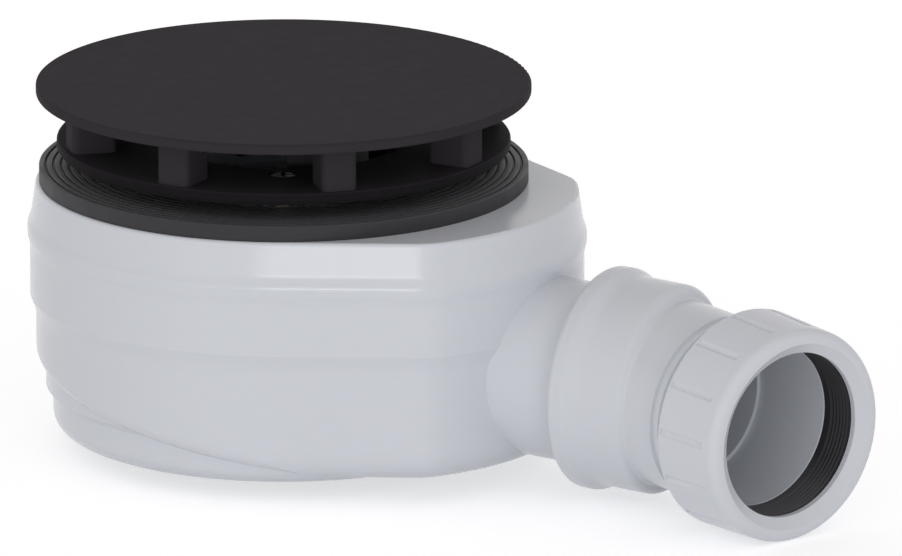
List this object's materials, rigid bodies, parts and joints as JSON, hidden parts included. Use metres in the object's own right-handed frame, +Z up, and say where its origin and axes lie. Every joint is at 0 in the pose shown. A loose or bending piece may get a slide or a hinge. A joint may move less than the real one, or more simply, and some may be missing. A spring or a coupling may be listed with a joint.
{
  "type": "shower trap",
  "caption": "Low shower trap with a flat black cover on posts, a clamping flange, a ribbed tray gasket, a white tear-drop body and a side outlet with a swivel bend and a compression nut.",
  "frame": {"origin": "on the trap's axis, at the flat underside of the bowl", "axes": "+Z up along the inlet, +X along the outlet's run seen from above"},
  "size_m": [0.2313, 0.1294, 0.0942],
  "materials": {
    "black_plastic": "matt",
    "steel": "stainless",
    "black_rubber": "moulded",
    "white_plastic": "gloss",
    "nut_plastic": "gloss",
    "washer_plastic": "satin",
    "brass": "turned"
  },
  "bodies": {
    "trap": {"cover": "black_plastic", "flange": "black_plastic", "flange_screws": "steel", "flange_seal": "black_rubber", "tray_gasket": "black_rubber", "trap_lid": "white_plastic", "screw_inserts": "brass", "trap_body": "white_plastic", "dip_tube": "white_plastic", "dip_tube_oring": "black_rubber", "seal_cup": "white_plastic"},
    "bend": {"outlet_bend": "white_plastic", "bend_oring": "black_rubber", "pipe_seal": "black_rubber"},
    "washer": {"slip_washer": "washer_plastic"},
    "nut": {"compression_nut": "nut_plastic"}
  },
  "joints": [
    {"name": "bend_swivel", "type": "hinge", "parent": "trap", "child": "bend", "pos_m": [0.09992, 0, 0.02509], "axis": [0.9992, 0, -0.0401], "continuous": true},
    {"name": "nut_travel", "type": "slide", "parent": "bend", "child": "washer", "axis": [0.9389, -0.342, -0.0377], "range_m": [0, 0.006]},
    {"name": "nut_turn", "type": "hinge", "parent": "washer", "child": "nut", "pos_m": [0.14743, -0.01334, 0.02318], "axis": [0.9389, -0.342, -0.0377], "range_deg": [0, 720]}
  ],
  "couplings": [
    {"joint": "nut_travel", "follows": "nut_turn", "m_per_rad": 0.0004774}
  ]
}
